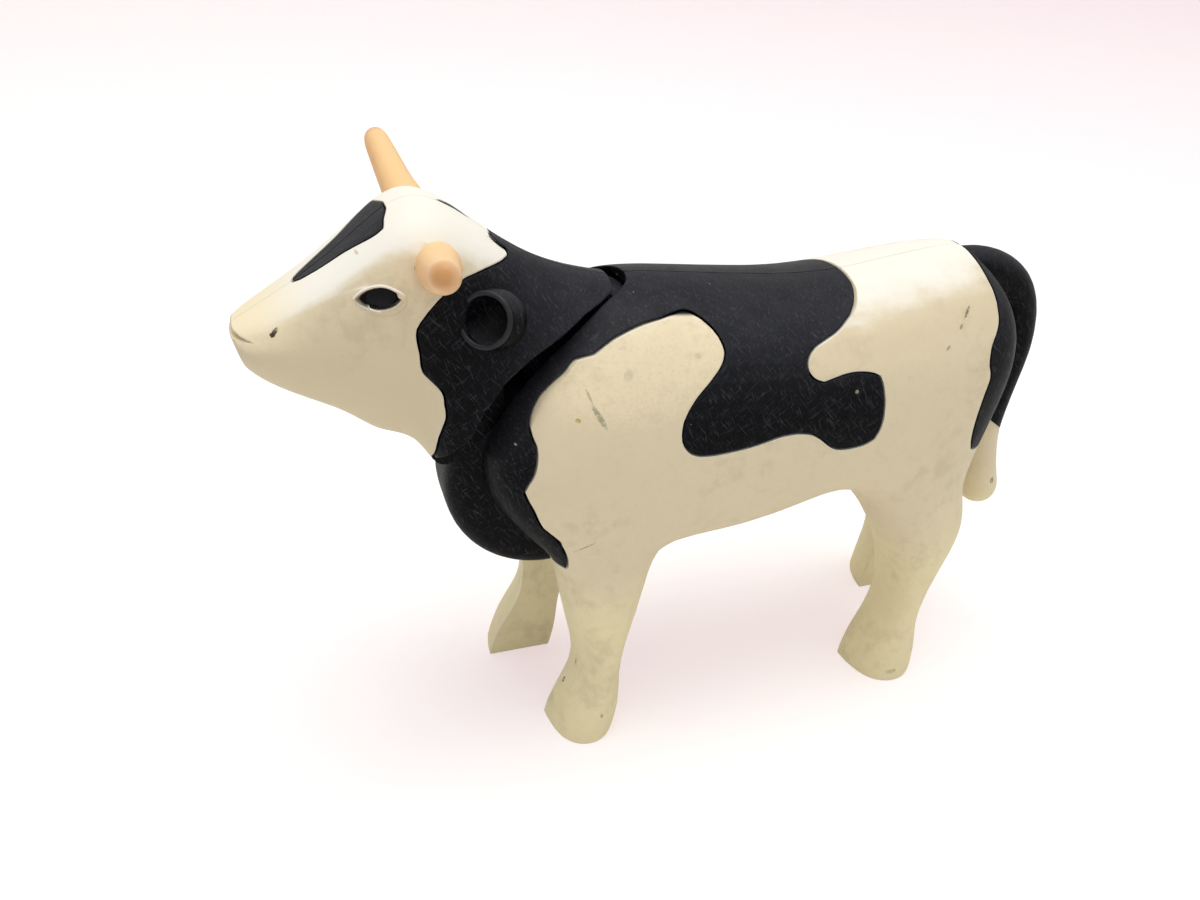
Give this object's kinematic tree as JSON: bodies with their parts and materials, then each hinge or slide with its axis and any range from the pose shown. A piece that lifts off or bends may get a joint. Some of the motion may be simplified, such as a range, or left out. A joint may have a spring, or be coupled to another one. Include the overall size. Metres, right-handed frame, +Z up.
{
  "type": "toy farm ox figure",
  "caption": "Standing toy ox in cream and black moulded plastic with tan horns, on a stepping stance, whose head and neck tilt down to graze.",
  "frame": {"origin": "middle of the figure's outline box on the ground it stands on", "axes": "+X from nose to tail, +Y to the animal's right, +Z up"},
  "size_m": [0.1234, 0.0588, 0.0855],
  "materials": {
    "cream_plastic": "matte, slightly yellowed",
    "black_plastic": "satin with fine scuffs",
    "horn_plastic": "satin tan",
    "eye_gloss": "gloss black",
    "steel_pin": "plain"
  },
  "bodies": {
    "trunk": {"body_left": "cream_plastic", "body_right": "cream_plastic", "saddle_left": "black_plastic", "saddle_right": "black_plastic", "rump_patch_left": "black_plastic", "rump_patch_right": "black_plastic", "tail": "black_plastic", "tail_tuft": "cream_plastic", "pivot_pin": "steel_pin"},
    "head": {"neck_left": "black_plastic", "neck_right": "black_plastic", "face_left": "cream_plastic", "face_right": "cream_plastic", "forehead_patch_left": "black_plastic", "forehead_patch_right": "black_plastic", "poll_patch": "black_plastic", "eye_left": "eye_gloss", "eye_right": "eye_gloss", "horn_left": "horn_plastic", "horn_right": "horn_plastic"}
  },
  "joints": [
    {"name": "neck_tilt", "type": "hinge", "parent": "trunk", "child": "head", "pos_m": [-0.0215, 0, 0.0425], "axis": [0, -1, 0], "range_deg": [0, 60]}
  ]
}
